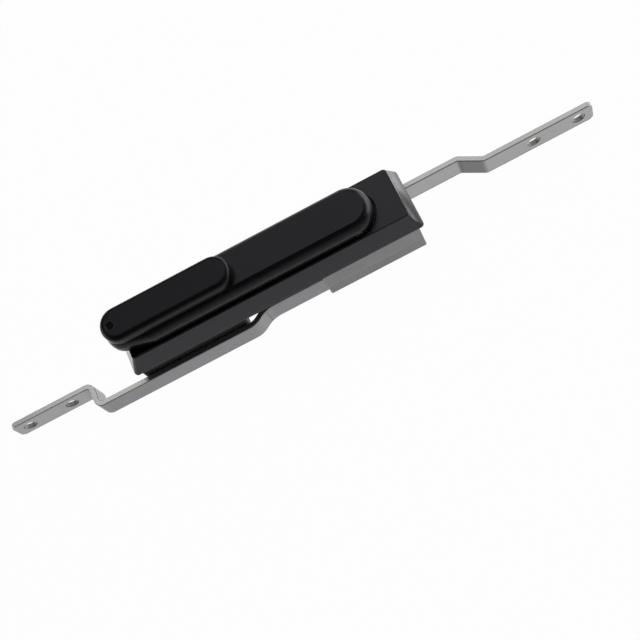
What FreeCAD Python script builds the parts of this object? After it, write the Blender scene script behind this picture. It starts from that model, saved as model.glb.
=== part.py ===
"""Swing handle lock with two flat push rods, as separate pieces.

Millimetres, +Z out of the door. The origin is on the spindle axis in the plane
of the door panel. The handle lies towards -X, and its pivot end faces +X.
"""
import FreeCAD, Part
import math
import os

V = FreeCAD.Vector
os.makedirs("parts", exist_ok=True)

# Clearances
FIT = 0.05            # running fit or screw fit, per side
GAP = 0.3             # between pieces that pass each other
SEAT = 0.15           # around a piece that drops into a pocket

# Gasket and dish
GASKET_T = 1.2
GASKET_W = 1.9
DISH_H = 15.2         # panel plane to front face
DISH_BACK = 33.0      # pivot end at the panel
DISH_FREE = -144.5    # free end at the panel
DISH_HALF = 18.65     # half width at the panel
DISH_SLOPE_SIDE = 3.05
DISH_SLOPE_BACK = 5.0
DISH_SLOPE_FREE = 5.4
DISH_CORNER = 2.2
DISH_EDGE_R = 0.6
DISH_WALL = 2.0
POCKET_R = 14.7       # round end of the pocket, about the spindle
POCKET_FLOOR = 5.0
FLOOR_T = 3.0
RAMP_FOOT = -128.0    # where the pocket's floor begins to rise to the free end
RAMP_RISE = 0.81      # per mm of length
COVE_RIM = 1.0        # plain rim above and below the cove of the pivot end
COVE_DEEP = 1.1

# Handle
HANDLE_R = 13.5
HANDLE_T = 10.5
HANDLE_WALL_H = 2.6   # upright part of the flank
FLANK_RUN = 4.0
TIP_C1 = -122.0       # where the flanks begin to close in
TIP_C2 = -136.8
TIP_R = 10.2
HANDLE_TOP_T = 2.6
UNDER_HALF = 10.4     # hollow of the underside
UNDER_X0 = -128.0
UNDER_X1 = -17.0
LINER_T = 2.6
LINER_STEP = 1.2      # ledge that the liner rests on

# Hinge of the handle
PIN_R = 1.9
PIN_UP = 2.2          # pin axis above the underside of the handle
TONGUE_R = 5.2
TONGUE_HALF = 5.3
HINGE_WASHER_T = 0.6
HINGE_WASHER_R = 4.0
TILT_ROOM_BACK = 8.6
TILT_ROOM_FREE = 10.5

# Swivel cover over the key hole
COVER_R = 10.0
COVER_X0 = -136.1
COVER_X1 = -78.5
COVER_T = 6.6
COVER_EDGE_R = 3.2
COVER_SHELL = 2.0
COVER_PIN_X = -139.7
COVER_PIN_R = 1.75
COVER_PIN_DEEP = 6.5
COVER_BOSS_R = 4.6
COVER_WASHER_T = 0.3
COVER_WASHER_R = 4.4
KEY_X = -106.0
KEY_HOLE_R = 7.6
KEY_TUBE_T = 1.2

# Spindle and bush
FLANGE_R = 12.0
FLANGE_T = 2.1
BUSH_FLANGE_T = 1.0
BUSH_FLANGE_R = 11.4
BUSH_R = 9.4
JOURNAL_R = 7.0
SQUARE = 9.6
SEAL_SECTION = 0.85
SEAL_FREE = 0.1
HUB_R = 12.6

# Rods
ROD_H = 16.0
ROD_T = 3.0
ROD_TOP = -9.8
BEND_R = 2.0          # inside radius of a tight bend
WIDE_BEND_R = (16.0, 11.0)    # inside radii of rod A's first joggle
ROD_HOLE_R = 4.0
ROD_PITCH = 27.3
ROD_END = 8.6         # last hole to the end of the bar
ROD_CHAMFER = 2.2
SHEAR = 0.35          # rolled edge on the long edges of a bar
END_Y = 5.4           # middle of both end portions, from the spindle plane
TAIL = 27.0
A_JOG1 = (-66.2, -74.0)
CASE_ROD_GAP = 0.8    # between the lock case and rod A
A_JOG2 = -173.3
A_HOLE = -189.1
B_JOG = (65.8, 78.6)
B_HOLE = 107.9

# Pinion and teeth
MODULE = 1.0
TEETH = 25
PRESSURE = math.radians(20.0)
DEDENDUM = 1.25
TIP_CUT = 0.05
THIN = 0.10           # flank play cut from each side of a pinion tooth
SLOT_WIDE = 0.03
TURN = math.radians(90.0)
PINION_TOP = -12.0
PINION_T = 11.0
WASHER_T = 1.4
WASHER_R = 6.8
END_SCREW_R = 2.5
END_SCREW_HEAD_R = 4.2
END_SCREW_HEAD_T = 2.6
END_SCREW_L = 9.0

# Gearbox
BOX_HALF_X = 29.8
BOX_HALF_Y = 16.6
BOX_BOTTOM = -28.4
BOX_SEAM = -17.4
BOX_EDGE = 0.8
BOX_SCREW_X = 22.8
BOX_SCREW_Y = 5.8
BOX_SCREW_R = 2.0
BOX_HEAD_R = 3.5
BOX_HEAD_T = 3.6
BOX_SCREW_IN = 4.0    # thread length in the dish
BOSS_R = 4.4

# Two tapped holes in the back of the dish, for the door's own screws
FIX_R = 2.1
FIX_DEEP = 4.2
DISH_FIX = (-40.0, -66.0)

# Lock case and cylinder
CASE_X1 = -77.2
CASE_HALF = 16.4
CASE_BOTTOM = -20.0
CASE_WALL = 2.0
CASE_CORNER = 2.0
LID_T = 2.0
CASE_SCREW_IN = 5.2   # screws of the lid, from the case's outside
CASE_SCREW_R = 1.5
CASE_HEAD_R = 2.8
CASE_HEAD_T = 1.6
CASE_HEAD_PROUD = 0.4
POST_R = 3.6
CYL_R = 8.0
CYL_TOP = 14.2
CYL_BOTTOM = -8.5
CYL_FLANGE_R = 9.8
CYL_FLANGE_T = 1.5
NUT_R = 11.4
NUT_T = 2.6
PLUG_R = 5.0
PLUG_PROUD = 0.3
KEYWAY_W = 1.3
KEYWAY_L = 7.4
KEYWAY_DEEP = 12.0
CAM_T = 3.2
CAM_HUB_R = 5.0
CAM_W = 6.5
CAM_RAMP = 1.3
CAM_SCREW_R = 1.5
CAM_HEAD_R = 3.0
CAM_HEAD_T = 1.8
CAM_SCREW_L = 6.0

# Slanting latch that hooks the handle
BOLT_X = -71.0        # where its middle line crosses BOLT_Z
BOLT_Z = 14.0
BOLT_W = 5.0
BOLT_D = 4.0
BOLT_TIP = 14.9
BOLT_TAIL = -12.0
GUIDE_HALF = 6.0
GUIDE_TOP = 13.4
GUIDE_BACK = 15.0      # behind the bolt's crossing point
GUIDE_FRONT = 5.0
CATCH_T = 1.5
CATCH_BACK = 9.0
CATCH_FRONT = 13.0
CATCH_HALF = 8.2
CATCH_SCREW_R = 1.25
CATCH_SCREW_IN = 2.4

# Bumper under the handle
BUMPER_X = -122.5
BUMPER_R = 4.0
BUMPER_STEM_R = 2.2

# Screws of the liner
LINER_SCREWS = (-24.0, -48.0, -119.0)
LINER_SCREW_R = 1.4
LINER_HEAD_R = 2.6
LINER_HEAD_T = 0.9
LINER_POST_R = 3.4
LINER_SCREW_IN = 4.0

# Longer than any piece, for cutting right through
FAR = 400.0

# Worked out from the sizes above
DISH_Z0 = GASKET_T
FRONT_X0 = DISH_FREE + DISH_SLOPE_FREE
FRONT_X1 = DISH_BACK - DISH_SLOPE_BACK
FRONT_HALF = DISH_HALF - DISH_SLOPE_SIDE
CASE_X0 = DISH_FREE + GASKET_W + SEAT
CASE_SCREWS = (
    (CASE_X0 + CASE_SCREW_IN, 0.0),
    (CASE_X1 - CASE_SCREW_IN, CASE_HALF - CASE_SCREW_IN),
    (CASE_X1 - CASE_SCREW_IN, CASE_SCREW_IN - CASE_HALF),
)
HANDLE_Z0 = DISH_H + GAP
HANDLE_Z1 = HANDLE_Z0 + HANDLE_T
PIN_Z = HANDLE_Z0 + PIN_UP
CAVITY_TOP = HANDLE_Z1 - HANDLE_TOP_T
COVER_Z0 = HANDLE_Z1 + COVER_WASHER_T + FIT
COVER_Z1 = COVER_Z0 + COVER_T
BUSH_TOP = POCKET_FLOOR + BUSH_FLANGE_T
FLANGE_Z0 = BUSH_TOP + FIT
FLANGE_Z1 = FLANGE_Z0 + FLANGE_T
PITCH_R = MODULE * TEETH / 2
ROD_IN = PITCH_R - MODULE
ROD_Y = ROD_IN + ROD_T / 2
A_MAIN_Y = CASE_HALF + CASE_ROD_GAP + ROD_T / 2
ROD_BOTTOM = ROD_TOP - ROD_H
ROD_MID = ROD_TOP - ROD_H / 2
TIP_RADIUS = PITCH_R + MODULE - TIP_CUT
ROOT_RADIUS = PITCH_R - DEDENDUM * MODULE
STROKE = PITCH_R * TURN
PINION_BOTTOM = PINION_TOP - PINION_T
FLOOR_UNDER = POCKET_FLOOR - FLOOR_T
LINER_Z0 = HANDLE_Z0 + SEAT
LINER_Z1 = LINER_Z0 + LINER_T
S45 = math.sqrt(0.5)
CATCH_X0 = BOLT_X - CATCH_BACK
CATCH_X1 = BOLT_X + CATCH_FRONT


def box(x0, x1, y0, y1, z0, z1):
    """A box between two corners."""
    return Part.makeBox(x1 - x0, y1 - y0, z1 - z0, V(x0, y0, z0))


def rod(r, z0, z1, x=0.0, y=0.0):
    """An upright cylinder."""
    return Part.makeCylinder(r, z1 - z0, V(x, y, z0), V(0, 0, 1))


def across(r, y0, y1, x, z):
    """A cylinder along Y."""
    return Part.makeCylinder(r, y1 - y0, V(x, y0, z), V(0, 1, 0))


def stadium(r, xa, xb, z0, z1):
    """An upright solid with straight sides and round ends about xa and xb."""
    body = box(xa, xb, -r, r, z0, z1)
    body = body.fuse([rod(r, z0, z1, xa), rod(r, z0, z1, xb)])
    return body.removeSplitter()


def rounded_wire(x0, x1, half, r, z):
    """A rectangle with rounded corners, as a flat wire."""
    k = r * (1 - S45)
    edges = []
    corners = [
        (V(x1 - r, -half, z), V(x1 - k, -half + k, z), V(x1, -half + r, z)),
        (V(x1, half - r, z), V(x1 - k, half - k, z), V(x1 - r, half, z)),
        (V(x0 + r, half, z), V(x0 + k, half - k, z), V(x0, half - r, z)),
        (V(x0, -half + r, z), V(x0 + k, -half + k, z), V(x0 + r, -half, z)),
    ]
    for i, (a, b, c) in enumerate(corners):
        before = corners[i - 1][2]
        edges.append(Part.LineSegment(before, a).toShape())
        edges.append(Part.Arc(a, b, c).toShape())
    return Part.Wire(edges)


def rounded_box(x0, x1, half, r, z0, z1):
    """An upright box with rounded corners."""
    face = Part.Face(rounded_wire(x0, x1, half, r, z0))
    return face.extrude(V(0, 0, z1 - z0))


def prism_xz(points, y0, y1):
    """A solid from points in the XZ plane, from y0 to y1."""
    wire = Part.makePolygon([V(x, y0, z) for x, z in points + points[:1]])
    return Part.Face(wire).extrude(V(0, y1 - y0, 0))


def joined(shapes):
    """One clean solid from touching solids."""
    body = shapes[0].fuse(shapes[1:]) if len(shapes) > 1 else shapes[0]
    return body.removeSplitter()


def round_edges(shape, radius, wanted):
    """Round the edges that the test picks."""
    picked = [e for e in shape.Edges if wanted(e)]
    return shape.makeFillet(radius, picked)


def at_height(z):
    """Test for edges that lie flat at one height."""
    def test(edge):
        low = abs(edge.BoundBox.ZMin - z) < 1e-4
        return low and abs(edge.BoundBox.ZMax - z) < 1e-4
    return test


def screw(r, head_r, head_t, x, y, seat, tip):
    """A cylinder-head screw that points up, with its head under the seat."""
    head = rod(head_r, seat - head_t, seat, x, y)
    socket = rod(head_r * 0.5, seat - head_t, seat - head_t * 0.45, x, y)
    return joined([head, rod(r, seat, tip, x, y)]).cut(socket)


def slant(w, d, low, high):
    """The latch's bar, or the room for it, along its slanting line."""
    reach = d * S45
    x_low = BOLT_X + (low - BOLT_Z)
    x_high = BOLT_X + (high - BOLT_Z)
    points = [
        (x_low - reach, low),
        (x_low + reach, low),
        (x_high + reach, high),
        (x_high - reach, high),
    ]
    return prism_xz(points, -w / 2, w / 2)


pieces = {}


# Dish: the long die-cast casing in front of the door
def pivot_cove():
    """The cylinder that hollows the sloped pivot end between its two rims."""
    lean = DISH_SLOPE_BACK / (DISH_H - DISH_Z0)
    tall = DISH_H - DISH_Z0 - 2 * COVE_RIM
    chord = tall * math.hypot(1.0, lean)
    radius = chord ** 2 / (8 * COVE_DEEP) + COVE_DEEP / 2
    out = (radius - COVE_DEEP) / math.hypot(1.0, lean)
    x = (FRONT_X1 + DISH_BACK) / 2 + out
    z = (DISH_H + DISH_Z0) / 2 + out * lean
    return across(radius, -DISH_HALF - 1, DISH_HALF + 1, x, z)


def make_dish():
    z0, z1 = DISH_Z0, DISH_H
    foot = rounded_wire(DISH_FREE, DISH_BACK, DISH_HALF, DISH_CORNER, z0)
    face = rounded_wire(FRONT_X0, FRONT_X1, FRONT_HALF, DISH_CORNER, z1)
    body = Part.makeLoft([foot, face], True, True)
    body = round_edges(body, DISH_EDGE_R, at_height(z1))
    body = body.cut(pivot_cove())
    high = z1 + 1 - POCKET_FLOOR
    run = prism_xz([
        (0, z1 + 1),
        (0, POCKET_FLOOR),
        (RAMP_FOOT, POCKET_FLOOR),
        (RAMP_FOOT - high / RAMP_RISE, z1 + 1),
    ], -POCKET_R, POCKET_R)
    body = body.cut(joined([rod(POCKET_R, POCKET_FLOOR, z1 + 1), run]))
    hollow_half = DISH_HALF - DISH_WALL
    hollow = box(DISH_FREE + DISH_WALL, DISH_BACK - DISH_WALL,
                 -hollow_half, hollow_half, z0 - 1, FLOOR_UNDER)
    body = body.cut(hollow)
    feet = [rod(HUB_R, 0, FLOOR_UNDER)]
    for sx in (-1, 1):
        for sy in (-1, 1):
            feet.append(rod(BOSS_R, 0, FLOOR_UNDER, sx * BOX_SCREW_X, sy * BOX_SCREW_Y))
    for x, y in CASE_SCREWS:
        feet.append(rod(POST_R, 0, FLOOR_UNDER, x, y))
    for x in DISH_FIX:
        feet.append(rod(BOSS_R, 0, FLOOR_UNDER, x, 0))
    body = joined([body] + feet)
    holes = [rod(BUSH_R, -1, POCKET_FLOOR + 1)]
    for sx in (-1, 1):
        for sy in (-1, 1):
            holes.append(rod(BOX_SCREW_R + FIT, -1, BOX_SCREW_IN + FIT,
                             sx * BOX_SCREW_X, sy * BOX_SCREW_Y))
    for x, y in CASE_SCREWS:
        holes.append(rod(CASE_SCREW_R + FIT, -1, FLOOR_UNDER + FLOOR_T / 2, x, y))
    for x in DISH_FIX:
        holes.append(rod(FIX_R, -1, FIX_DEEP, x, 0))
    holes.append(rod(CYL_R + FIT, -1, POCKET_FLOOR + 1, KEY_X))
    holes.append(slant(BOLT_W + 2 * GAP, BOLT_D + 2 * GAP, FLOOR_UNDER - 2, POCKET_FLOOR + 1))
    holes.append(rod(BUMPER_STEM_R + FIT, -1, POCKET_FLOOR + 1, BUMPER_X))
    return body.cut(holes)


pieces["dish"] = make_dish()

# Gasket: a flat ring between the dish and the door
inner_half = DISH_HALF - GASKET_W
pieces["panel_gasket"] = rounded_box(
    DISH_FREE, DISH_BACK, DISH_HALF, DISH_CORNER, 0, GASKET_T
).cut(box(DISH_FREE + GASKET_W, DISH_BACK - GASKET_W, -inner_half, inner_half, -1, GASKET_T + 1))


# Handle: round flanks swept round the plan, flat on top
def flank_profile(r):
    """Half section of the handle, from its middle plane out to radius r."""
    z0, z1 = HANDLE_Z0, HANDLE_Z1
    zw = z0 + HANDLE_WALL_H
    rise = z1 - zw
    half_turn = math.radians(45)
    mid = V(r - FLANK_RUN + FLANK_RUN * math.cos(half_turn), 0, zw + rise * math.sin(half_turn))
    return [
        Part.LineSegment(V(0, 0, z0), V(r, 0, z0)).toShape(),
        Part.LineSegment(V(r, 0, z0), V(r, 0, zw)).toShape(),
        Part.Arc(V(r, 0, zw), mid, V(r - FLANK_RUN, 0, z1)).toShape(),
        Part.LineSegment(V(r - FLANK_RUN, 0, z1), V(0, 0, z1)).toShape(),
        Part.LineSegment(V(0, 0, z1), V(0, 0, z0)).toShape(),
    ]


def turned_end(r, x, start, sweep):
    """The section turned about an upright line at x, from an angle."""
    face = Part.Face(Part.Wire(flank_profile(r)))
    face.rotate(V(0, 0, 0), V(0, 0, 1), start)
    solid = face.revolve(V(0, 0, 0), V(0, 0, 1), sweep)
    solid.translate(V(x, 0, 0))
    return solid


def straight_side(x, angle, length):
    """The section drawn along a straight flank that starts beside x."""
    face = Part.Face(Part.Wire(flank_profile(HANDLE_R)))
    face.rotate(V(0, 0, 0), V(0, 0, 1), angle)
    face.translate(V(x, 0, 0))
    turn = 90 if angle > 0 else -90
    a = math.radians(angle + turn)
    return face.extrude(V(length * math.cos(a), length * math.sin(a), 0))


def make_handle_blank():
    reach = TIP_C1 - TIP_C2
    close = math.degrees(math.asin((HANDLE_R - TIP_R) / reach))
    run = reach * math.cos(math.radians(close))
    solids = [
        turned_end(HANDLE_R, 0, -90, 180),
        straight_side(0, 90, -TIP_C1),
        straight_side(0, -90, -TIP_C1),
        turned_end(HANDLE_R, TIP_C1, 90, close),
        turned_end(HANDLE_R, TIP_C1, 270 - close, close),
        straight_side(TIP_C1, 90 + close, run),
        straight_side(TIP_C1, -90 - close, run),
        turned_end(TIP_R, TIP_C2, 90 + close, 180 - 2 * close),
    ]
    return joined(solids)


def liner_plan(z0, z1, less):
    """The long rounded plan of the underside's hollow or liner."""
    r = UNDER_HALF - less
    return stadium(r, UNDER_X0 + UNDER_HALF, UNDER_X1 - UNDER_HALF, z0, z1)


def make_handle():
    body = make_handle_blank()
    body = body.cut(liner_plan(LINER_Z1, CAVITY_TOP, LINER_STEP))
    body = body.cut(liner_plan(HANDLE_Z0 - 1, LINER_Z1, 0))
    tongue_half = TONGUE_HALF + HINGE_WASHER_T + FIT
    room = box(-TILT_ROOM_FREE, TILT_ROOM_BACK, -tongue_half, tongue_half, HANDLE_Z0 - 1, CAVITY_TOP)
    body = body.cut(room)
    tube = rod(KEY_HOLE_R + KEY_TUBE_T, HANDLE_Z0 + SEAT, HANDLE_Z1 - 1, KEY_X)
    posts = [rod(LINER_POST_R, LINER_Z1, CAVITY_TOP + 0.5, x) for x in LINER_SCREWS]
    body = joined([body, tube] + posts)
    holes = [rod(KEY_HOLE_R, HANDLE_Z0 - 1, HANDLE_Z1 + 1, KEY_X)]
    holes.append(across(PIN_R + FIT, -HANDLE_R - 1, HANDLE_R + 1, 0, PIN_Z))
    holes.append(rod(COVER_PIN_R, HANDLE_Z1 - COVER_PIN_DEEP, HANDLE_Z1 + 1, COVER_PIN_X))
    for x in LINER_SCREWS:
        holes.append(rod(LINER_SCREW_R + FIT, HANDLE_Z0, CAVITY_TOP, x))
    return body.cut(holes)


pieces["handle"] = make_handle()

# Liner: the plate that closes the handle's underside
liner = liner_plan(LINER_Z0, LINER_Z1 - FIT, SEAT)
liner = liner.cut(rod(KEY_HOLE_R + KEY_TUBE_T + SEAT, 0, LINER_Z1 + 1, KEY_X))
catch_room = box(CATCH_X0 - SEAT, CATCH_X1 + SEAT, -CATCH_HALF - SEAT, CATCH_HALF + SEAT,
                 LINER_Z0 - 1, LINER_Z0 + CATCH_T + FIT)
liner = liner.cut(catch_room)
liner = liner.cut(slant(BOLT_W + 2 * GAP + 1.0, BOLT_D + 2 * GAP + 1.0, LINER_Z0 - 1, LINER_Z1 + 2))
for x in LINER_SCREWS:
    liner = liner.cut(rod(LINER_SCREW_R + FIT, 0, LINER_Z1 + 1, x))
    liner = liner.cut(rod(LINER_HEAD_R + FIT, 0, LINER_Z0 + LINER_HEAD_T, x))
CATCH_SCREWS = ((CATCH_X0 + CATCH_SCREW_IN, 0.0), (CATCH_X1 - CATCH_SCREW_IN, 0.0))
for x, y in CATCH_SCREWS:
    liner = liner.cut(rod(CATCH_SCREW_R + FIT, 0, LINER_Z1 + 1, x, y))
pieces["handle_liner"] = liner

pieces["liner_screws"] = Part.makeCompound([
    screw(LINER_SCREW_R, LINER_HEAD_R, LINER_HEAD_T, x, 0,
          LINER_Z0 + LINER_HEAD_T, LINER_Z1 + LINER_SCREW_IN)
    for x in LINER_SCREWS
])

# Catch: the steel plate that the latch hooks
catch = box(CATCH_X0, CATCH_X1, -CATCH_HALF, CATCH_HALF, LINER_Z0, LINER_Z0 + CATCH_T)
catch = catch.cut(slant(BOLT_W + 2 * GAP, BOLT_D + 2 * GAP, LINER_Z0 - 1, LINER_Z0 + CATCH_T + 1))
for x, y in CATCH_SCREWS:
    catch = catch.cut(rod(CATCH_SCREW_R + FIT, 0, LINER_Z1 + 1, x, y))
pieces["latch_catch"] = catch
pieces["catch_rivets"] = Part.makeCompound([
    rod(CATCH_SCREW_R, LINER_Z0, LINER_Z1 + 0.6, x, y)
    .fuse(rod(CATCH_SCREW_R * 1.6, LINER_Z1, LINER_Z1 + 0.8, x, y)).removeSplitter()
    for x, y in CATCH_SCREWS
])

# Swivel cover over the key hole, with its rivet
cover = stadium(COVER_R, COVER_X0, COVER_X1, COVER_Z0, COVER_Z1)
cover = round_edges(cover, COVER_EDGE_R, at_height(COVER_Z1))
hollow = stadium(COVER_R - COVER_SHELL, COVER_X0, COVER_X1, COVER_Z0 - 1, COVER_Z1 - COVER_SHELL)
cover = cover.cut(hollow.cut(rod(COVER_BOSS_R, 0, COVER_Z1, COVER_PIN_X)))
cover = cover.cut(rod(COVER_PIN_R + FIT, COVER_Z0 - 1, COVER_Z1 + 1, COVER_PIN_X))
rim = Part.makeCone(COVER_PIN_R + FIT, COVER_PIN_R + 0.6, 0.55, V(COVER_PIN_X, 0, COVER_Z1 - 0.55))
pieces["cylinder_cover"] = cover.cut(rim)
pieces["cover_pin"] = rod(COVER_PIN_R, HANDLE_Z1 - COVER_PIN_DEEP, COVER_Z1 - 0.25, COVER_PIN_X)
pieces["cover_washer"] = rod(COVER_WASHER_R, HANDLE_Z1, HANDLE_Z1 + COVER_WASHER_T, COVER_PIN_X).cut(
    rod(COVER_PIN_R, HANDLE_Z1 - 1, HANDLE_Z1 + 1, COVER_PIN_X))

# Hinge pin and its washers
pieces["hinge_pin"] = across(PIN_R, -HANDLE_R + 0.3, HANDLE_R - 0.3, 0, PIN_Z)
washers = []
for side in (-1, 1):
    y = side * (TONGUE_HALF + HINGE_WASHER_T / 2)
    ring = across(HINGE_WASHER_R, y - HINGE_WASHER_T / 2, y + HINGE_WASHER_T / 2, 0, PIN_Z)
    washers.append(ring.cut(across(PIN_R + FIT, y - 2, y + 2, 0, PIN_Z)))
pieces["hinge_washers"] = Part.makeCompound(washers)

# Spindle: tongue for the hinge pin, flange, journal and square end
tongue = joined([
    across(TONGUE_R, -TONGUE_HALF, TONGUE_HALF, 0, PIN_Z),
    box(-TONGUE_R, TONGUE_R, -TONGUE_HALF, TONGUE_HALF, FLANGE_Z0, PIN_Z),
])
spindle = joined([
    tongue,
    rod(FLANGE_R, FLANGE_Z0, FLANGE_Z1),
    rod(JOURNAL_R, PINION_TOP + GAP, FLANGE_Z0),
    box(-SQUARE / 2, SQUARE / 2, -SQUARE / 2, SQUARE / 2, PINION_BOTTOM, PINION_TOP + GAP),
])
spindle = spindle.cut(across(PIN_R, -TONGUE_HALF - 1, TONGUE_HALF + 1, 0, PIN_Z))
spindle = spindle.cut(rod(END_SCREW_R, PINION_BOTTOM - 1, PINION_BOTTOM + END_SCREW_L))
pieces["spindle"] = spindle

# Bush and ring seal round the spindle
bush = joined([
    rod(BUSH_R, 0, POCKET_FLOOR),
    rod(BUSH_FLANGE_R, POCKET_FLOOR, BUSH_TOP),
])
pieces["spindle_bush"] = bush.cut(rod(JOURNAL_R + FIT, -1, BUSH_TOP + 1))
SEAL_MID = JOURNAL_R + SEAL_FREE + SEAL_SECTION
pieces["spindle_seal"] = Part.makeTorus(SEAL_MID, SEAL_SECTION, V(0, 0, -SEAL_SECTION - SEAL_FREE))


# Pinion: involute teeth on a square bore
def involute_points(radius_base, radius_from, radius_to, count):
    """Radius and swing angle of points along one tooth flank."""
    out = []
    for i in range(count):
        r = radius_from + (radius_to - radius_from) * i / (count - 1)
        a = math.acos(min(1.0, radius_base / r))
        out.append((r, math.tan(a) - a))
    return out


def make_pinion():
    base = PITCH_R * math.cos(PRESSURE)
    swing_at_pitch = math.tan(PRESSURE) - PRESSURE
    half = math.pi / (2 * TEETH) - THIN / PITCH_R
    flank = involute_points(base, base, TIP_RADIUS, 6)
    step = 2 * math.pi / TEETH
    points = []
    for k in range(TEETH):
        centre = math.pi / 2 + k * step
        rising = [(ROOT_RADIUS, half + swing_at_pitch)]
        rising += [(r, half + swing_at_pitch - s) for r, s in flank]
        for r, a in rising:
            points.append((r, centre - a))
        for r, a in reversed(rising):
            points.append((r, centre + a))
    ring = [V(r * math.cos(a), r * math.sin(a), PINION_BOTTOM) for r, a in points]
    gear = Part.Face(Part.makePolygon(ring + ring[:1])).extrude(V(0, 0, PINION_T))
    half_bore = SQUARE / 2 + FIT
    return gear.cut(box(-half_bore, half_bore, -half_bore, half_bore,
                        PINION_BOTTOM - 1, PINION_TOP + 1))


pieces["pinion"] = make_pinion()
pieces["pinion_washer"] = rod(WASHER_R, PINION_BOTTOM - WASHER_T, PINION_BOTTOM).cut(
    rod(END_SCREW_R + FIT, PINION_BOTTOM - 3, PINION_BOTTOM + 1))
pieces["pinion_screw"] = screw(
    END_SCREW_R, END_SCREW_HEAD_R, END_SCREW_HEAD_T, 0, 0,
    PINION_BOTTOM - WASHER_T, PINION_BOTTOM + END_SCREW_L - 1)


# Rods: flat bars on edge, with a rack cut in the inner face
def bar(path, radii):
    """A flat bar on edge along straight runs, with the inside radius of each bend."""
    left, right, bends = [], [], []
    for i, p in enumerate(path):
        here = V(p[0], p[1], 0)
        before = here - V(*path[i - 1], 0) if i > 0 else None
        after = V(*path[i + 1], 0) - here if i + 1 < len(path) else None
        d0 = (before or after).normalize()
        d1 = (after or before).normalize()
        n0 = V(-d0.y, d0.x, 0)
        n1 = V(-d1.y, d1.x, 0)
        mitre = (n0 + n1).normalize()
        off = (ROD_T / 2) / mitre.dot(n0)
        left.append(here + mitre * off)
        right.append(here - mitre * off)
        if before is not None and after is not None:
            inside = left[-1] if d0.cross(d1).z > 0 else right[-1]
            bends.append((left[-1], right[-1], inside))
    loop = left + right[::-1]
    loop = [V(p.x, p.y, ROD_BOTTOM) for p in loop]
    body = Part.Face(Part.makePolygon(loop + loop[:1])).extrude(V(0, 0, ROD_H))
    for (a, b, inside), tight in zip(bends, radii):
        for corner in (a, b):
            radius = tight if corner is inside else tight + ROD_T
            edges = [e for e in body.Edges
                     if e.BoundBox.ZLength > ROD_H - 0.1
                     and abs(e.CenterOfMass.x - corner.x) < 0.01
                     and abs(e.CenterOfMass.y - corner.y) < 0.01]
            body = body.makeFillet(radius, edges)
    return round_edges(body, SHEAR, lambda e: at_height(ROD_TOP)(e) or at_height(ROD_BOTTOM)(e))


def end_work(body, holes, end_x, side):
    """Fixing holes and cut corners at the outer end of a bar."""
    for x in holes:
        body = body.cut(across(ROD_HOLE_R, -FAR, FAR, x, ROD_MID))
    c = ROD_CHAMFER
    for z, up in ((ROD_TOP, 1), (ROD_BOTTOM, -1)):
        corner = prism_xz([
            (end_x + side * 0.5, z + up * 0.5),
            (end_x - side * (c + 0.5), z + up * 0.5),
            (end_x + side * 0.5, z - up * (c + 0.5)),
        ], -FAR, FAR)
        body = body.cut(corner)
    return body


def rack_slots(side, phase, first, last):
    """Tooth spaces that open towards the pinion, on the side of sign side."""
    pitch = math.pi * MODULE
    half = pitch / 4 + SLOT_WIDE
    lean = math.tan(PRESSURE)
    y_in = ROD_IN - 0.5
    y_root = PITCH_R + DEDENDUM * MODULE
    w_in = half + (PITCH_R - y_in) * lean
    w_root = half - DEDENDUM * MODULE * lean
    slots = []
    k = math.ceil((first - phase) / pitch)
    while phase + k * pitch <= last:
        x = phase + k * pitch
        points = [
            V(x - w_in, side * y_in, ROD_BOTTOM - 1),
            V(x + w_in, side * y_in, ROD_BOTTOM - 1),
            V(x + w_root, side * y_root, ROD_BOTTOM - 1),
            V(x - w_root, side * y_root, ROD_BOTTOM - 1),
        ]
        slots.append(Part.Face(Part.makePolygon(points + points[:1])).extrude(V(0, 0, ROD_H + 2)))
        k += 1
    return slots


reach = math.sqrt(TIP_RADIUS ** 2 - ROD_IN ** 2) + math.pi * MODULE
phase_far = 0.0
phase_near = 0.0 if TEETH % 2 == 0 else math.pi * MODULE / 2
A_END = A_HOLE - ROD_PITCH - ROD_END
B_END = B_HOLE + ROD_PITCH + ROD_END

rod_a = bar([
    (TAIL, -ROD_Y), (A_JOG1[0], -ROD_Y), (A_JOG1[1], -A_MAIN_Y),
    (A_JOG2, -A_MAIN_Y), (A_JOG2, -END_Y), (A_END, -END_Y),
], WIDE_BEND_R + (BEND_R, BEND_R))
rod_a = end_work(rod_a, (A_HOLE, A_HOLE - ROD_PITCH), A_END, -1)
pieces["rod_a"] = rod_a.cut(rack_slots(-1, phase_near, -STROKE - reach, reach))

rod_b = bar([
    (-TAIL, ROD_Y), (B_JOG[0], ROD_Y), (B_JOG[1], END_Y), (B_END, END_Y),
], (BEND_R, BEND_R))
rod_b = end_work(rod_b, (B_HOLE, B_HOLE + ROD_PITCH), B_END, 1)
pieces["rod_b"] = rod_b.cut(rack_slots(1, phase_far, -reach, STROKE + reach))

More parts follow.
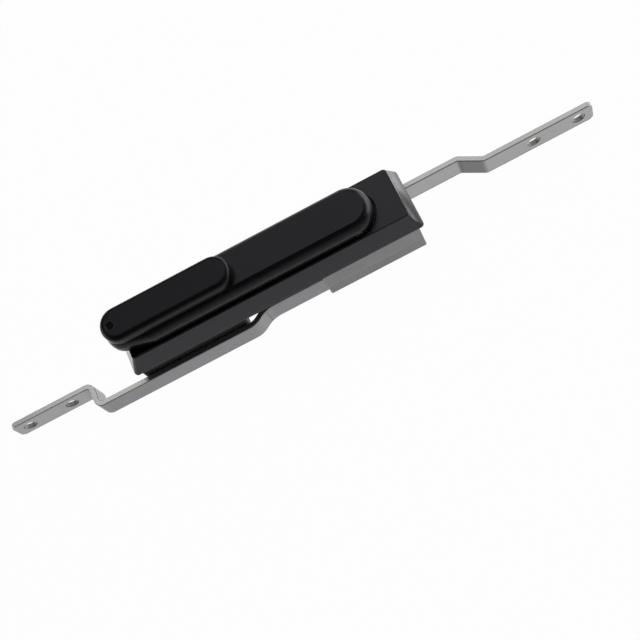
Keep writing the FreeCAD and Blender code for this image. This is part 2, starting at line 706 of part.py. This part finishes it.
# Gearbox: two halves that meet at the middle of the rods
BOX_SCREWS = [(sx * BOX_SCREW_X, sy * BOX_SCREW_Y) for sx in (-1, 1) for sy in (-1, 1)]
channel_half = ROD_T / 2 + GAP
block = box(-BOX_HALF_X, BOX_HALF_X, -BOX_HALF_Y, BOX_HALF_Y, BOX_BOTTOM, 0)
block = round_edges(block, BOX_EDGE, lambda e: e.BoundBox.ZLength > 20 or at_height(BOX_BOTTOM)(e))
for side in (-1, 1):
    y = side * ROD_Y
    block = block.cut(box(-BOX_HALF_X - 1, BOX_HALF_X + 1, y - channel_half, y + channel_half,
                          ROD_BOTTOM - GAP, ROD_TOP + GAP))
block = block.cut(rod(TIP_RADIUS + 2 * GAP, PINION_BOTTOM - GAP, PINION_TOP + 2 * GAP))
block = block.cut(rod(JOURNAL_R + GAP, PINION_TOP, 1))
block = block.cut(rod(SEAL_MID + SEAL_SECTION + SEAL_FREE, -2 * (SEAL_SECTION + SEAL_FREE), 1))
block = block.cut(rod(WASHER_R + 2 * GAP, PINION_BOTTOM - WASHER_T - END_SCREW_HEAD_T - GAP, PINION_BOTTOM))
for x, y in BOX_SCREWS:
    block = block.cut(rod(BOX_SCREW_R + FIT, BOX_BOTTOM - 1, 1, x, y))
    block = block.cut(rod(BOX_HEAD_R + SEAT, BOX_BOTTOM - 1, BOX_BOTTOM + BOX_HEAD_T, x, y))
upper = box(-FAR, FAR, -FAR, FAR, BOX_SEAM, FAR)
pieces["gearbox_upper"] = block.common(upper)
pieces["gearbox_lower"] = block.cut(upper)
pieces["gearbox_screws"] = Part.makeCompound([
    screw(BOX_SCREW_R, BOX_HEAD_R, BOX_HEAD_T, x, y, BOX_BOTTOM + BOX_HEAD_T, BOX_SCREW_IN)
    for x, y in BOX_SCREWS
])

# Lock case behind the free end of the dish, with its lid and screws
case = rounded_box(CASE_X0, CASE_X1, CASE_HALF, CASE_CORNER, CASE_BOTTOM, 0)
inside = rounded_box(CASE_X0 + CASE_WALL, CASE_X1 - CASE_WALL, CASE_HALF - CASE_WALL,
                     CASE_CORNER / 2, CASE_BOTTOM - 1, 1)
posts = [rod(POST_R, CASE_BOTTOM + LID_T, 0, x, y) for x, y in CASE_SCREWS]
case = joined([case.cut(inside)] + posts)
for x, y in CASE_SCREWS:
    case = case.cut(rod(CASE_SCREW_R + FIT, CASE_BOTTOM, 1, x, y))
pieces["lock_case"] = case
lid = rounded_box(CASE_X0 + CASE_WALL + SEAT, CASE_X1 - CASE_WALL - SEAT,
                  CASE_HALF - CASE_WALL - SEAT, CASE_CORNER / 2, CASE_BOTTOM, CASE_BOTTOM + LID_T)
for x, y in CASE_SCREWS:
    lid = lid.cut(rod(CASE_SCREW_R + FIT, CASE_BOTTOM - 1, 0, x, y))
    lid = lid.cut(rod(CASE_HEAD_R + FIT, CASE_BOTTOM - 1, CASE_BOTTOM + CASE_HEAD_T - CASE_HEAD_PROUD, x, y))
pieces["lock_case_lid"] = lid
pieces["lock_case_screws"] = Part.makeCompound([
    screw(CASE_SCREW_R, CASE_HEAD_R, CASE_HEAD_T, x, y,
          CASE_BOTTOM + CASE_HEAD_T - CASE_HEAD_PROUD, FLOOR_UNDER + FLOOR_T / 3)
    for x, y in CASE_SCREWS
])

# Lock cylinder, its nut, the turning plug and the cam under it
cylinder = joined([
    rod(CYL_R, CYL_BOTTOM, CYL_TOP, KEY_X),
    rod(CYL_FLANGE_R, POCKET_FLOOR, POCKET_FLOOR + CYL_FLANGE_T, KEY_X),
])
pieces["cylinder_body"] = cylinder.cut(rod(PLUG_R + FIT, CYL_BOTTOM - 1, CYL_TOP + 1, KEY_X))
pieces["cylinder_nut"] = rod(NUT_R, FLOOR_UNDER - NUT_T, FLOOR_UNDER, KEY_X).cut(
    rod(CYL_R + FIT, FLOOR_UNDER - NUT_T - 1, FLOOR_UNDER + 1, KEY_X))
plug_top = CYL_TOP + PLUG_PROUD
plug = rod(PLUG_R, CYL_BOTTOM - GAP, plug_top, KEY_X)
plug = plug.cut(box(KEY_X - KEYWAY_W / 2, KEY_X + KEYWAY_W / 2, -KEYWAY_L / 2, KEYWAY_L / 2,
                    plug_top - KEYWAY_DEEP, plug_top + 1))
plug = plug.cut(rod(CAM_SCREW_R, CYL_BOTTOM - 1, CYL_BOTTOM + CAM_SCREW_L, KEY_X))
pieces["cylinder_plug"] = plug
cam_top = CYL_BOTTOM - GAP
cam = joined([
    rod(CAM_HUB_R, cam_top - CAM_T, cam_top, KEY_X),
    box(KEY_X - CAM_W / 2, KEY_X + CAM_W / 2, 0, CASE_HALF - CASE_WALL - 1.0, cam_top - CAM_T, cam_top),
])
lead = KEY_X + CAM_W / 2
cam = cam.cut(prism_xz([
    (lead + 0.1, cam_top + 0.1),
    (lead - CAM_W * 0.62, cam_top + 0.1),
    (lead + 0.1, cam_top - CAM_RAMP),
], CAM_HUB_R, FAR))
cam = cam.cut(rod(CAM_SCREW_R + FIT, cam_top - CAM_T - 1, cam_top + 1, KEY_X))
pieces["cylinder_cam"] = cam
pieces["cam_screw"] = screw(CAM_SCREW_R, CAM_HEAD_R, CAM_HEAD_T, KEY_X, 0,
                            cam_top - CAM_T, CYL_BOTTOM + CAM_SCREW_L - 1)

# Latch bolt on its slanting line, and its guide block
pieces["latch_bolt"] = slant(BOLT_W, BOLT_D, BOLT_TAIL, BOLT_TIP)
guide = box(BOLT_X - GUIDE_BACK, BOLT_X + GUIDE_FRONT, -GUIDE_HALF, GUIDE_HALF, POCKET_FLOOR, GUIDE_TOP)
guide = guide.cut(slant(BOLT_W + 2 * FIT, BOLT_D + 2 * FIT, POCKET_FLOOR - 1, GUIDE_TOP + 1))
pieces["latch_guide"] = guide

# Bumper that the free end of the handle rests on
pieces["handle_bumper"] = joined([
    rod(BUMPER_R, POCKET_FLOOR, LINER_Z0 - GAP, BUMPER_X),
    rod(BUMPER_STEM_R, FLOOR_UNDER - 1.2, POCKET_FLOOR, BUMPER_X),
])

for name, shape in pieces.items():
    shape.exportStep(f"parts/{name}.step")
    print(name, "solids", len(shape.Solids), "volume", round(shape.Volume, 1),
          "valid", shape.isValid())
print("rod stroke", round(STROKE, 3), "hinge pin height", round(PIN_Z, 3))
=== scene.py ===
"""Looks of a swing handle lock with two flat push rods, in metres."""

import bmesh
import bpy
from mathutils import Matrix, Vector


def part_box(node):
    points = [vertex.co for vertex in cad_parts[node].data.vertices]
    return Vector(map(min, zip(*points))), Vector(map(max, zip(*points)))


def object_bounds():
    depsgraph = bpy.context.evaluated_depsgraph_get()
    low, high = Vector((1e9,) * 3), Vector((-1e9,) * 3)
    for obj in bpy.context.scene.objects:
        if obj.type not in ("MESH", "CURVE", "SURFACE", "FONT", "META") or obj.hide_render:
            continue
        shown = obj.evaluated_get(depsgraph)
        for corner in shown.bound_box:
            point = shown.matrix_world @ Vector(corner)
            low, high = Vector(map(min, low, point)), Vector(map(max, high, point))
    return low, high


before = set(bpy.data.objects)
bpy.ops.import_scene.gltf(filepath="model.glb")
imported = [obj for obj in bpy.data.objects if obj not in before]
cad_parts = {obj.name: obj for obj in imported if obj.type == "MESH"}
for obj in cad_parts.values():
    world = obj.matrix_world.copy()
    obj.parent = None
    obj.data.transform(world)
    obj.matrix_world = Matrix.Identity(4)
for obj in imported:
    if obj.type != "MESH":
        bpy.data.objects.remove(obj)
cad_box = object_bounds()


# Dish, handle and swivel cover: zinc die castings with a fine matt powder coat,
# baked on in one colour. Each casting gets its own copy of the coat, with tones set
# apart as painted light and shade: lightest on the dish, darker on the handle and
# darkest on the cover. The coat has a very fine grain, is a little smoother on
# edges, where a lighter colour is a painted highlight, and has a soft sheen on
# faces that look to either end.
MM = 0.001
COAT_EDGE = 0.5 * MM
COAT_DEPTH = 0.010 * MM
END_LEAN = 0.45
SHEEN_ROUGHNESS = 0.34


class Value:
    """A socket in a material, so that shader maths reads as plain arithmetic."""

    def __init__(self, finish, socket):
        self.finish = finish
        self.socket = socket

    def combine(self, operation, other, turned=False):
        pair = (other, self) if turned else (self, other)
        return self.finish.add("ShaderNodeMath", {"operation": operation}, pair)

    def __add__(self, other):
        return self.combine("ADD", other)

    def __radd__(self, other):
        return self.combine("ADD", other, True)

    def __sub__(self, other):
        return self.combine("SUBTRACT", other)

    def __rsub__(self, other):
        return self.combine("SUBTRACT", other, True)

    def __mul__(self, other):
        return self.combine("MULTIPLY", other)

    def __rmul__(self, other):
        return self.combine("MULTIPLY", other, True)

    def __truediv__(self, other):
        return self.combine("DIVIDE", other)

    def __rtruediv__(self, other):
        return self.combine("DIVIDE", other, True)

    def clamped(self):
        low = self.combine("MAXIMUM", 0.0)
        return low.combine("MINIMUM", 1.0)

    def magnitude(self):
        return self.finish.add("ShaderNodeMath", {"operation": "ABSOLUTE"}, (self,))


class Recipe:
    """A node tree that is written as calls and arithmetic."""

    def __init__(self, tree):
        self.tree = tree

    def add(self, kind, settings, values=(), output=0):
        """A node with its settings and inputs, and one of its outputs."""
        node = self.tree.nodes.new(kind)
        for key, value in settings.items():
            setattr(node, key, value)
        pairs = values.items() if isinstance(values, dict) else enumerate(values)
        for key, value in pairs:
            self.put(node.inputs[key], value)
        return Value(self, node.outputs[output])

    def put(self, socket, value):
        if isinstance(value, Value):
            self.tree.links.new(value.socket, socket)
        else:
            socket.default_value = value


class Finish(Recipe):
    """One procedural material on Object coordinates."""

    def __init__(self, name):
        self.material = bpy.data.materials.new(name)
        self.material.use_nodes = True
        super().__init__(self.material.node_tree)
        self.shader = self.tree.nodes["Principled BSDF"]
        self.place = self.add("ShaderNodeTexCoord", {}, (), "Object")

    def noise(self, per_metre, detail=3.0, stretch=None):
        """Noise from 0 to 1 with so many features a metre."""
        spot = self.place
        if stretch:
            spot = self.add("ShaderNodeMapping", {}, {"Vector": self.place, "Scale": stretch})
        return self.add("ShaderNodeTexNoise", {}, {
            "Vector": spot, "Scale": per_metre, "Detail": detail})

    def along(self, axis):
        """The object's X, Y or Z at the shaded point, in metres."""
        return self.add("ShaderNodeSeparateXYZ", {}, (self.place,), axis)

    def facing(self, axis):
        """How far the surface faces along one axis, from -1 to 1."""
        normal = self.add("ShaderNodeNewGeometry", {}, (), "True Normal")
        turned = self.add("ShaderNodeVectorTransform", {
            "vector_type": "NORMAL", "convert_from": "WORLD", "convert_to": "OBJECT"}, (normal,))
        return self.add("ShaderNodeSeparateXYZ", {}, (turned,), axis)

    def blend(self, factor, first, second):
        """A colour between two colours."""
        return self.add("ShaderNodeMix", {"data_type": "RGBA"}, {0: factor, 6: first, 7: second}, 2)

    def edge_mask(self, radius, strength):
        """1 on edges and 0 on flats, from how the surface bends within a radius."""
        bevel = self.add("ShaderNodeBevel", {"samples": 6}, {"Radius": radius})
        normal = self.add("ShaderNodeNewGeometry", {}, (), "Normal")
        same = self.add("ShaderNodeVectorMath", {"operation": "DOT_PRODUCT"},
                        (bevel, normal), "Value")
        return ((1.0 - same) * strength).clamped()

    def bump(self, height, depth, strength=1.0, edge_radius=0.0):
        """A raised and sunk surface, depth metres from low to high, on rounded edges."""
        values = {"Strength": strength, "Distance": depth, "Height": height}
        if edge_radius:
            values["Normal"] = self.add("ShaderNodeBevel", {"samples": 8}, {"Radius": edge_radius})
        self.put(self.shader.inputs["Normal"], self.add("ShaderNodeBump", {}, values, "Normal"))

    def set(self, **sockets):
        """Links or sets the shader's sockets, with _ for each space in a name."""
        for name, value in sockets.items():
            self.put(self.shader.inputs[name.replace("_", " ")], value)


def rgb(red, green, blue):
    return (red, green, blue, 1.0)


def dress(finish, *nodes):
    """Gives CAD nodes this finish."""
    for node in nodes:
        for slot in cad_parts[node].material_slots:
            slot.material = finish.material


# Painted highlight: the light grey that the coat's edges are painted towards.
PAINTED_EDGE_HIGHLIGHT = rgb(0.16, 0.16, 0.17)
COAT_TINT = rgb(0.92, 0.91, 1.0)


def powder_coat(name, low, high, gloss, shine, painted_light, lacquer):
    """The coat of one casting, between two tones, with a painted highlight on its edges."""
    coat = Finish(name)
    mottle = coat.noise(60.0, 2.0)
    grain = coat.noise(2600.0, 2.0)
    speck = coat.noise(900.0, 1.0)
    edge = coat.edge_mask(COAT_EDGE, 4.0)
    tone = coat.blend(mottle * 0.6 + speck * 0.4, low, high)
    end_face = ((coat.facing("X").magnitude() - END_LEAN) * 3.0).clamped()
    # Edges are painted lighter as a highlight, as strongly as painted_light says.
    coat.set(Base_Color=coat.blend(edge * painted_light, tone, PAINTED_EDGE_HIGHLIGHT),
             Roughness=gloss + (mottle - 0.5) * 0.06 + (grain - 0.5) * 0.08 - edge * 0.06,
             Coat_Weight=end_face * lacquer,
             Coat_Roughness=SHEEN_ROUGHNESS,
             Specular_IOR_Level=shine,
             Specular_Tint=COAT_TINT)
    coat.bump(grain * 0.6 + speck * 0.4, COAT_DEPTH, 0.5)
    return coat


# Painted light and shade: the three coats are copies whose tones and shine are set apart by how
# light falls on each casting, and painted_light sets how strongly each one's edges are painted as a
# highlight.
dish_coat = powder_coat(
    "dish_coat_painted_light", low=rgb(0.0080, 0.0080, 0.0098), high=rgb(0.0122, 0.0122, 0.0154),
    gloss=0.33, shine=0.36, painted_light=0.7, lacquer=0.8)
dress(dish_coat, "dish")
handle_coat = powder_coat(
    "handle_coat_painted_shade", low=rgb(0.0048, 0.0048, 0.0056), high=rgb(0.0074, 0.0074, 0.0094),
    gloss=0.33, shine=0.27, painted_light=0.25, lacquer=0.5)
dress(handle_coat, "handle")
cover_coat = powder_coat(
    "cover_coat_painted_shade", low=rgb(0.0040, 0.0040, 0.0046), high=rgb(0.0064, 0.0064, 0.0078),
    gloss=0.36, shine=0.22, painted_light=0.5, lacquer=0.2)
dress(cover_coat, "cylinder_cover")

# Cover rivet: a blackened steel pin, riveted a little below the cover's top,
# that shows as a dark dot near the tip of the cover.
PIN_DEPTH = 0.01 * MM
dark_pin = Finish("blackened_pin")
dark_pin.set(Base_Color=dark_pin.blend(dark_pin.noise(800.0), rgb(0.0010, 0.0010, 0.0010),
                                       rgb(0.0025, 0.0025, 0.0028)),
             Roughness=0.62 + (dark_pin.noise(3000.0) - 0.5) * 0.2,
             Specular_IOR_Level=0.12)
dark_pin.bump(dark_pin.noise(3000.0), PIN_DEPTH)
dress(dark_pin, "cover_pin")

# Gasket, ring seal and bumper: soft black rubber with a dull skin. The gasket
# lies between dish and door, and the handle's free end closes on the bumper.
RUBBER_DEPTH = 0.05 * MM
rubber = Finish("soft_rubber")
rubber_skin = rubber.noise(1500.0, 3.0)
rubber.set(Base_Color=rubber.blend(rubber_skin, rgb(0.008, 0.008, 0.008), rgb(0.020, 0.020, 0.020)),
           Roughness=0.62 + (rubber_skin - 0.5) * 0.2)
rubber.bump(rubber_skin, RUBBER_DEPTH)
dress(rubber, "panel_gasket", "spindle_seal", "handle_bumper")

# Lock case, its lid, the handle's liner and the latch guide: black glass-filled
# nylon, moulded, with a spark-eroded grain.
NYLON_DEPTH = 0.03 * MM
nylon = Finish("black_nylon")
nylon_grain = nylon.noise(1800.0, 4.0)
nylon_flow = nylon.noise(50.0, 2.0, stretch=(1.0, 4.0, 4.0))
nylon.set(Base_Color=nylon.blend(nylon_flow, rgb(0.012, 0.012, 0.013), rgb(0.022, 0.022, 0.023)),
          Roughness=0.5 + (nylon_grain - 0.5) * 0.25)
nylon.bump(nylon_grain, NYLON_DEPTH, 0.8)
dress(nylon, "lock_case", "lock_case_lid", "handle_liner", "latch_guide")

# Rods: drawn flat steel bar on edge, bent cold and zinc plated. The wide faces
# are faintly drawn along their length, the narrow faces are sheared and a little
# warmer. A dark line runs where the two meet, and each bend has a darker band.
# Painted shade darkens each bar where it lies under the dish and on faces turned
# towards -X, and painted light makes it lighter beyond the dish and on faces
# turned towards +X.
ROD_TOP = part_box("rod_a")[1][2]
ROD_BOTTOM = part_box("rod_a")[0][2]
ROD_MIDDLE = (ROD_TOP + ROD_BOTTOM) / 2
HOLE_REACH = 4.15 * MM
HOLE_RIM = 8000.0
LINE_IN = 0.5 * MM
LINE_HALF = 0.62 * MM
CREASE_HALF = 0.45 * MM
DRAWN_DEPTH = 0.004 * MM
# Painted light: the lighter colour of the bar beyond the dish, out of its shade.
PAINTED_LIT_STEEL = rgb(0.42, 0.42, 0.428)
# Painted light on faces turned towards +X and painted shade on faces turned towards -X.
PAINTED_LIT_FACES = rgb(0.46, 0.46, 0.464)
PAINTED_SHADED_FACES = rgb(0.110, 0.111, 0.117)
BORE_STEEL = rgb(0.34, 0.325, 0.305)
# The colour of the dark line along the wide faces' edges and of the band at each bend.
DARK_MARK_STEEL = rgb(0.050, 0.046, 0.041)


def band(value, middle, half):
    """1 at the middle of a band and 0 beyond its half width."""
    return ((1.0 - (value - middle).magnitude() / half) * 1.6).clamped()


def bar_steel(name, dark, light, top, shade_reach, bends, holes, line_darkness):
    """Steel of one bar, with painted shade under the dish, painted light and shade on faces turned
    along it, and a darker band at each bend.
    """
    steel = Finish(name)
    drawn = steel.noise(900.0, 4.0, stretch=(0.03, 1.0, 1.0))
    cloud = steel.noise(70.0, 3.0)
    fine = steel.noise(2600.0, 2.0)
    height = steel.along("Z")
    reach = steel.along("X")
    narrow = ((steel.facing("Z").magnitude() - 0.6) * 4.0).clamped()
    # Painted light: 1 beyond shade_reach, where the bar comes out from under the dish.
    painted_light = ((reach.magnitude() - shade_reach) * 80.0).clamped()
    side = steel.facing("X")
    sheared = steel.blend(fine, rgb(top, top * 0.98, top * 0.953),
                          rgb(top * 1.13, top * 1.11, top * 1.085))
    tone = steel.blend(cloud * 0.6 + drawn * 0.4, dark, light)
    tone = steel.blend(painted_light * 0.75, tone, PAINTED_LIT_STEEL)
    # Painted light on faces turned towards +X, painted shade on faces turned towards -X.
    tone = steel.blend((side * 0.8).clamped() * 0.9, tone, PAINTED_LIT_FACES)
    tone = steel.blend((side * -1.7).clamped() * 0.9, tone, PAINTED_SHADED_FACES)
    tone = steel.blend(narrow, tone, sheared)
    bore = 0.0
    for x in holes:
        across = reach - x
        rise = height - ROD_MIDDLE
        away = steel.add("ShaderNodeMath", {"operation": "SQRT"}, (across * across + rise * rise,))
        bore = bore + ((HOLE_REACH - away) * HOLE_RIM).clamped()
    tone = steel.blend(bore, tone, BORE_STEEL)
    line = (band(height, ROD_TOP - LINE_IN, LINE_HALF)
            + band(height, ROD_BOTTOM + LINE_IN, LINE_HALF))
    crease = 0.0
    for x in bends:
        crease = crease + band(reach, x, CREASE_HALF)
    # A dark line along both edges of the wide faces and a darker band at each bend.
    dark_marks = (line * line_darkness + crease * 0.4).clamped() * (1.0 - narrow)
    steel.set(Base_Color=steel.blend(dark_marks, tone, DARK_MARK_STEEL),
              Roughness=(0.28 + narrow * 0.05 + bore * 0.25
                         + (drawn - 0.5) * 0.08 + (cloud - 0.5) * 0.08),
              Metallic=1.0)
    steel.bump(drawn * 0.8 + fine * 0.2 - dark_marks * 0.5, DRAWN_DEPTH, 0.35)
    return steel


# Painted shade: the near bar, which lies under the dish, gets darker tones than the far bar, and
# each bar's narrow-face tone is set apart by how light falls on it.
near_bar = bar_steel(
    "bar_steel_near_painted_shade", dark=rgb(0.195, 0.197, 0.207), light=rgb(0.290, 0.292, 0.304),
    top=0.60, shade_reach=0.168, bends=(-0.0659,), holes=(-0.1891, -0.2164), line_darkness=0.42)
dress(near_bar, "rod_a")
far_bar = bar_steel(
    "bar_steel_far_painted_light", dark=rgb(0.36, 0.362, 0.370), light=rgb(0.45, 0.452, 0.460),
    top=0.45, shade_reach=0.120, bends=(0.0668,), holes=(0.1079, 0.1352), line_darkness=0.70)
dress(far_bar, "rod_b")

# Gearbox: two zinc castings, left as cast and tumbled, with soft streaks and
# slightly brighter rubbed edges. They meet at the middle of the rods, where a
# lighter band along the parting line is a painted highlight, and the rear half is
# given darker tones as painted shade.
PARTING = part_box("gearbox_lower")[1][2]
PARTING_HALF = 0.55 * MM
ZINC_EDGE = 0.5 * MM
ZINC_DEPTH = 0.06 * MM
# The colour of the rubbed edges, and of the parting line as a painted highlight.
EDGE_WEAR_AND_SEAM_HIGHLIGHT = rgb(0.34, 0.34, 0.345)


def cast_zinc(name, low, high):
    """Tumbled zinc between two tones, bright at the rubbed edges, with a painted highlight along
    the parting line.
    """
    zinc = Finish(name)
    cloud = zinc.noise(90.0, 4.0)
    grain = zinc.noise(1300.0, 3.0)
    streak = zinc.noise(420.0, 4.0, stretch=(0.12, 1.0, 1.0))
    edge = zinc.edge_mask(ZINC_EDGE, 3.0)
    # Painted highlight: a lighter band along the parting line.
    line = band(zinc.along("Z"), PARTING, PARTING_HALF)
    tone = zinc.blend(cloud * 0.4 + streak * 0.6, low, high)
    zinc.set(Base_Color=zinc.blend((edge * 0.8 + line * 0.6).clamped(), tone, EDGE_WEAR_AND_SEAM_HIGHLIGHT),
             Roughness=0.36 + (grain - 0.5) * 0.2 + (streak - 0.5) * 0.3,
             Metallic=0.95)
    zinc.bump(grain * 0.4 + streak * 0.6, ZINC_DEPTH, 0.8, ZINC_EDGE)
    return zinc


front_zinc = cast_zinc(
    "tumbled_zinc_front", low=rgb(0.140, 0.140, 0.146), high=rgb(0.300, 0.300, 0.308))
dress(front_zinc, "gearbox_upper")
# Painted shade: the rear casting's tones are set darker than the front's.
rear_zinc = cast_zinc(
    "tumbled_zinc_rear_painted_shade", low=rgb(0.120, 0.120, 0.125), high=rgb(0.290, 0.290, 0.298))
dress(rear_zinc, "gearbox_lower")

# Spindle, pinion, cam, latch bolt and catch: machined steel, with fine turning
# or milling marks.
TOOL_DEPTH = 0.01 * MM
machined = Finish("machined_steel")
tool_marks = machined.noise(1600.0, 3.0, stretch=(1.0, 0.08, 1.0))
machined_cloud = machined.noise(90.0, 2.0)
machined.set(Base_Color=machined.blend(machined_cloud, rgb(0.26, 0.26, 0.262),
                                       rgb(0.36, 0.36, 0.362)),
             Roughness=0.30 + (tool_marks - 0.5) * 0.2,
             Metallic=0.9)
machined.bump(tool_marks, TOOL_DEPTH)
dress(machined, "spindle", "pinion", "cylinder_cam", "latch_bolt", "latch_catch")

# Pins, rivets, screws and the pinion's washer: bright zinc plate over steel,
# a little blue, with marks from tumbling.
PLATE_DEPTH = 0.008 * MM
plated = Finish("bright_zinc_plate")
plated_marks = plated.noise(1100.0, 4.0)
plated.set(Base_Color=plated.blend(plated_marks, rgb(0.36, 0.365, 0.38), rgb(0.48, 0.485, 0.50)),
           Roughness=0.24 + (plated_marks - 0.5) * 0.2,
           Metallic=0.95)
plated.bump(plated_marks, PLATE_DEPTH)
dress(plated, "hinge_pin", "catch_rivets", "liner_screws", "pinion_washer", "pinion_screw",
      "gearbox_screws", "lock_case_screws", "cam_screw")

# Lock cylinder, its nut and plug: turned brass, with fine turning marks and a
# slightly uneven tarnish.
BRASS_DEPTH = 0.01 * MM
brass = Finish("turned_brass")
brass_marks = brass.noise(1500.0, 3.0, stretch=(1.0, 1.0, 0.1))
brass_age = brass.noise(120.0, 3.0)
brass.set(Base_Color=brass.blend(brass_age, rgb(0.46, 0.34, 0.15), rgb(0.62, 0.48, 0.23)),
          Roughness=0.28 + (brass_marks - 0.5) * 0.2 + (brass_age - 0.5) * 0.15,
          Metallic=0.95)
brass.bump(brass_marks, BRASS_DEPTH)
dress(brass, "cylinder_body", "cylinder_nut", "cylinder_plug")

# Spindle bush, hinge washers and the cover's friction washer: natural acetal,
# turned or punched, waxy and off-white.
ACETAL_DEPTH = 0.01 * MM
acetal = Finish("natural_acetal")
acetal_cloud = acetal.noise(300.0, 2.0)
acetal.set(Base_Color=acetal.blend(acetal_cloud, rgb(0.66, 0.64, 0.58), rgb(0.74, 0.72, 0.66)),
           Roughness=0.38 + (acetal_cloud - 0.5) * 0.1)
acetal.bump(acetal_cloud, ACETAL_DEPTH)
dress(acetal, "spindle_bush", "hinge_washers", "cover_washer")

# Camera: the photograph's own view, a long lens well above the near side.
# It was found from straight edges and corners of the black unit.
PHOTO = 640.0
FOCAL_PX = 1300.0
AXIS_PX = (290.0, 270.0)
CAMERA_PLACE = (0.0151, -0.3099, 0.6380)
NEAREST = 0.01
right = Vector((0.8825, -0.3884, -0.2657))
back = Vector((0.0824, -0.4302, 0.8990))
up = back.cross(right).normalized()
camera = bpy.data.objects.new("camera", bpy.data.cameras.new("camera"))
bpy.context.collection.objects.link(camera)
turn = Matrix((right.normalized(), up, back.normalized())).transposed().to_4x4()
camera.matrix_world = Matrix.Translation(CAMERA_PLACE) @ turn
camera.data.lens = FOCAL_PX / PHOTO * camera.data.sensor_width
camera.data.shift_x = (PHOTO / 2 - AXIS_PX[0]) / PHOTO
camera.data.shift_y = -(PHOTO / 2 - AXIS_PX[1]) / PHOTO
camera.data.clip_start = NEAREST
bpy.context.scene.camera = camera

# Floor: a plain pale sheet just under the lowest piece. The camera and glossy
# surfaces see it as white, it keeps a faint shadow, and from below it is clear.
FLOOR_SIZE = 6.0
FLOOR_DROP = 0.05 * MM
WHITE = rgb(1.0, 1.0, 1.0)
floor_mesh = bmesh.new()
bmesh.ops.create_grid(floor_mesh, x_segments=1, y_segments=1, size=FLOOR_SIZE / 2)
bmesh.ops.translate(floor_mesh, verts=floor_mesh.verts, vec=(0, 0, cad_box[0][2] - FLOOR_DROP))
floor_data = bpy.data.meshes.new("floor")
floor_mesh.to_mesh(floor_data)
floor_mesh.free()
floor = bpy.data.objects.new("floor", floor_data)
bpy.context.collection.objects.link(floor)
paper = Finish("white_paper")
paper.set(Base_Color=paper.blend(paper.noise(400.0), rgb(0.86, 0.86, 0.86), rgb(0.88, 0.88, 0.88)),
          Roughness=0.9)
eye = paper.add("ShaderNodeLightPath", {}, (), "Is Camera Ray")
mirror = paper.add("ShaderNodeLightPath", {}, (), "Is Glossy Ray")
through = paper.add("ShaderNodeLightPath", {}, (), "Is Transmission Ray")
white = paper.add("ShaderNodeEmission", {}, {"Color": WHITE, "Strength": 1.0})
lit = Value(paper, paper.shader.outputs[0])
seen = (eye * 0.98 + mirror * 0.76 + through * 0.97).clamped()
sheet = paper.add("ShaderNodeMixShader", {}, (seen, lit, white))
under = paper.add("ShaderNodeNewGeometry", {}, (), "Backfacing")
clear = paper.add("ShaderNodeBsdfTransparent", {})
open_below = paper.add("ShaderNodeMixShader", {}, (under * eye, sheet, clear))
paper.put(paper.tree.nodes["Material Output"].inputs["Surface"], open_below)
floor_data.materials.append(paper.material)

# Light: a dim room that the camera sees as white, with one large soft box above and
# behind for the flat fronts, a low wide one on the right for the round end, weak ones
# in front and on the left, and a faint card flat on the floor by each sloped end.
ROOM_DIM = 0.06
ROOM_SEEN = 0.94
world = bpy.data.worlds.new("room")
bpy.context.scene.world = world
world.use_nodes = True
room = Recipe(world.node_tree)
room_eye = room.add("ShaderNodeLightPath", {}, (), "Is Camera Ray")
sky = world.node_tree.nodes["Background"]
room.put(sky.inputs["Color"], WHITE)
room.put(sky.inputs["Strength"], room_eye * ROOM_SEEN + ROOM_DIM)


def soft_box(name, place, wide, tall, watts, aim=(0.0, 0.0, 0.0)):
    """A rectangular lamp that looks at its aim and isn't seen itself."""
    data = bpy.data.lights.new(name, "AREA")
    data.shape = "RECTANGLE"
    data.size = wide
    data.size_y = tall
    data.energy = watts
    lamp = bpy.data.objects.new(name, data)
    bpy.context.collection.objects.link(lamp)
    lamp.location = place
    lamp.rotation_euler = (Vector(aim) - Vector(place)).to_track_quat("-Z", "Y").to_euler()
    lamp.visible_camera = False


soft_box("top_box", (0.25, 1.15, 2.1), wide=2.6, tall=1.8, watts=15.0)
soft_box("right_box", (1.25, 0.30, 0.24), wide=1.9, tall=0.5, watts=10.0)
soft_box("front_box", (0.2, -1.6, 0.35), wide=1.6, tall=0.4, watts=1.4)
soft_box("left_box", (-1.3, 0.3, 0.3), wide=0.8, tall=0.5, watts=3.0)
card_z = cad_box[0][2]
soft_box("right_card", (0.115, 0.075, card_z), wide=0.12, tall=0.11, watts=0.055,
         aim=(0.114, 0.075, 1.0))
soft_box("left_card", (-0.215, 0.055, card_z), wide=0.10, tall=0.08, watts=0.040,
         aim=(-0.214, 0.055, 1.0))

bpy.context.scene.view_settings.view_transform = "Standard"
